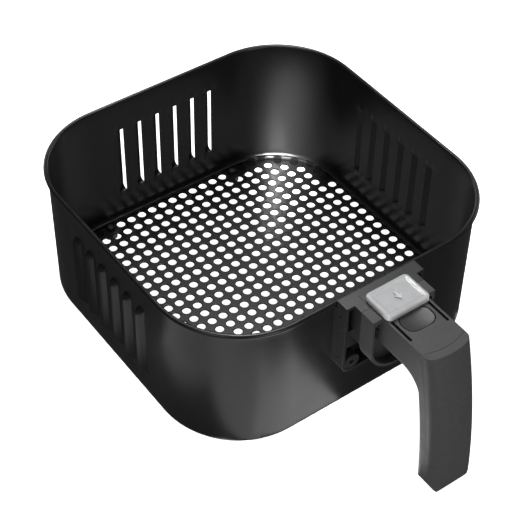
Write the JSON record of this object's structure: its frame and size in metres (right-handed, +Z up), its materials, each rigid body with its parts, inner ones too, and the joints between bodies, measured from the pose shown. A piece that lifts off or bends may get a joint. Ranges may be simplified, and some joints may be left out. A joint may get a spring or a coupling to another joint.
{
  "type": "air fryer basket",
  "caption": "Square perforated air fryer basket with louvred walls and a drop handle that carries a release button under a clear sliding guard.",
  "frame": {"origin": "centre of the basket at the height its feet stand on", "axes": "+Z up, +Y from the handle towards the back wall, +X to the right seen from the handle"},
  "size_m": [0.2134, 0.2912, 0.1046],
  "materials": {
    "wall_coating": "satin non-stick coating",
    "floor_coating": "satin non-stick coating",
    "silicone": "matte",
    "bracket_plastic": "fine matte moulding",
    "handle_plastic": "fine matte moulding",
    "button_plastic": "satin moulding",
    "zinc_steel": "zinc plated",
    "fastener_steel": "plated",
    "spring_steel": "bright drawn",
    "lever_steel": "stamped",
    "clear_plastic": "clear, slightly milky",
    "marking": "moulded in"
  },
  "bodies": {
    "basket": {"basket_wall": "wall_coating", "floor_plate": "floor_coating", "foot_back_left": "silicone", "foot_back_right": "silicone", "foot_front_left": "silicone", "foot_front_right": "silicone", "mount_bracket": "bracket_plastic", "handle_collar": "handle_plastic", "backing_plate": "zinc_steel", "mount_rivets": "fastener_steel", "bracket_screws": "fastener_steel", "handle_tang": "zinc_steel", "grip_rear_shell": "handle_plastic", "grip_front_panel": "handle_plastic", "top_cover": "handle_plastic", "cover_screws": "fastener_steel", "grip_screws": "fastener_steel", "button_spring": "spring_steel", "lever_pin": "fastener_steel"},
    "guard": {"button_guard": "clear_plastic", "guard_arrow": "marking"},
    "button": {"release_button": "button_plastic"},
    "lever": {"latch_lever": "lever_steel"}
  },
  "joints": [
    {"name": "guard_slide", "type": "slide", "parent": "basket", "child": "guard", "axis": [0, -1, 0], "range_m": [0, 0.0165]},
    {"name": "button_press", "type": "slide", "parent": "basket", "child": "button", "axis": [0, 0, -1], "range_m": [0, 0.003], "deforming": ["button_spring"]},
    {"name": "lever_pivot", "type": "hinge", "parent": "basket", "child": "lever", "pos_m": [0, -0.127, 0.0905], "axis": [1, 0, 0], "range_deg": [0, 12.9], "stiffness_Nm_per_rad": 0.14, "springref_deg": -8.59}
  ],
  "couplings": [
    {"joint": "button_press", "follows": "lever_pivot", "m_per_rad": 0.0133}
  ]
}
